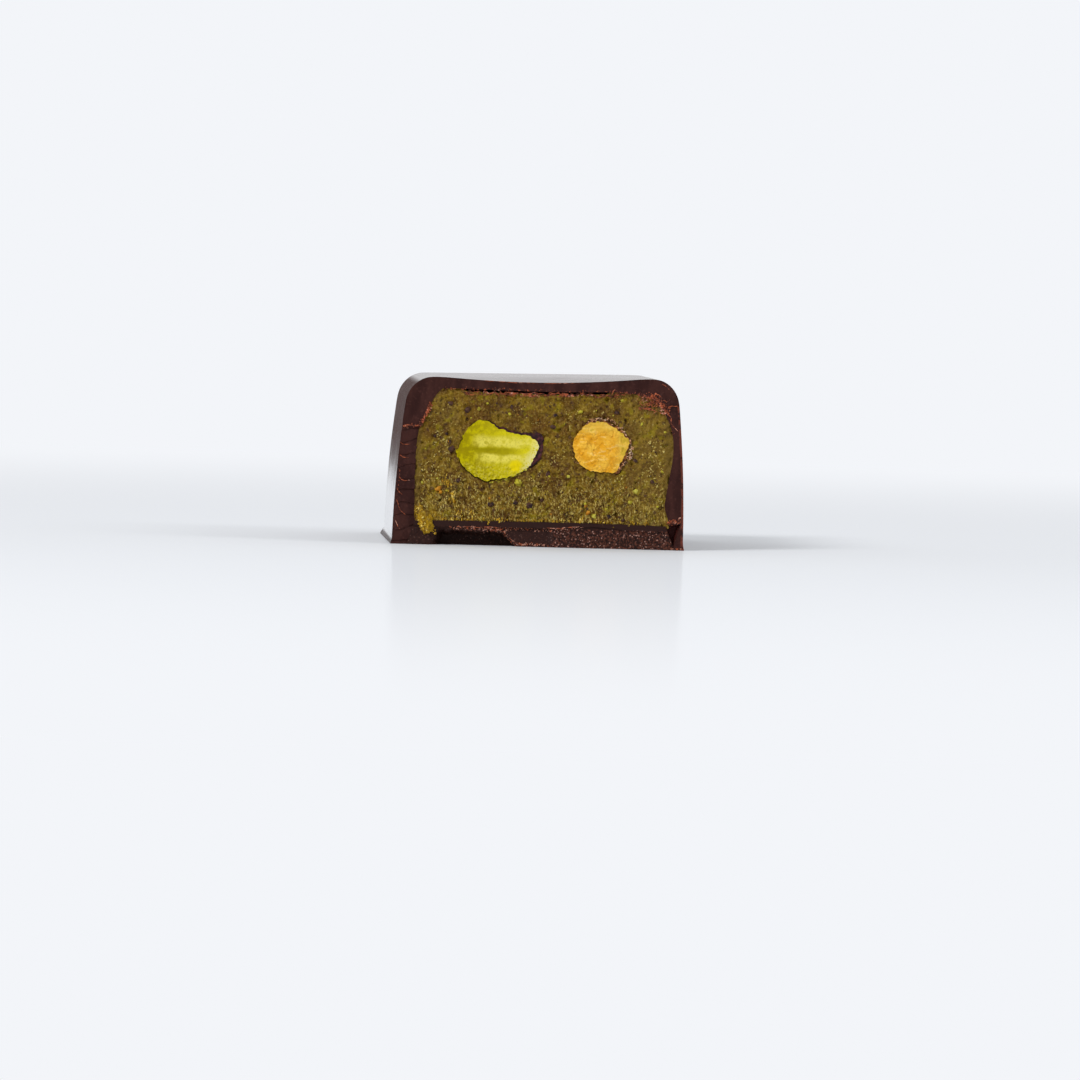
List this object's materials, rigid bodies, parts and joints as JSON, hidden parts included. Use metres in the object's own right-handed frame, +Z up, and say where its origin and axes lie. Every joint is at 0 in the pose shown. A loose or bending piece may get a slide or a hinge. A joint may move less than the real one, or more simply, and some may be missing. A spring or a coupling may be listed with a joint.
{
  "type": "chocolate bar",
  "caption": "End piece of a filled dark chocolate bar, cut across to show its green nut paste filling and whole pistachio kernels; stands on its flat backing.",
  "frame": {"origin": "centre of the underside, on the surface the piece rests on", "axes": "+Z up, +X to the right across the bar when facing the cut, +Y along the bar from the cut to the moulded end"},
  "size_m": [0.0332, 0.0384, 0.0188],
  "materials": {
    "shell_chocolate": "moulded dark chocolate, glossy outside and satin where it is cut",
    "backing_chocolate": "dark chocolate, smooth underneath and crumbly where it broke",
    "nut_paste": "olive green pistachio paste, speckled, lumpy and slightly oily",
    "green_kernel": "cut pistachio kernel, yellow green with a purple skin",
    "tan_kernel": "cut roasted kernel, golden tan with a flaky brown skin"
  },
  "bodies": {
    "root": {"shell": "shell_chocolate", "backing": "backing_chocolate", "filling": "nut_paste", "pistachio_kernel": "green_kernel", "roasted_kernel": "tan_kernel"}
  },
  "joints": []
}
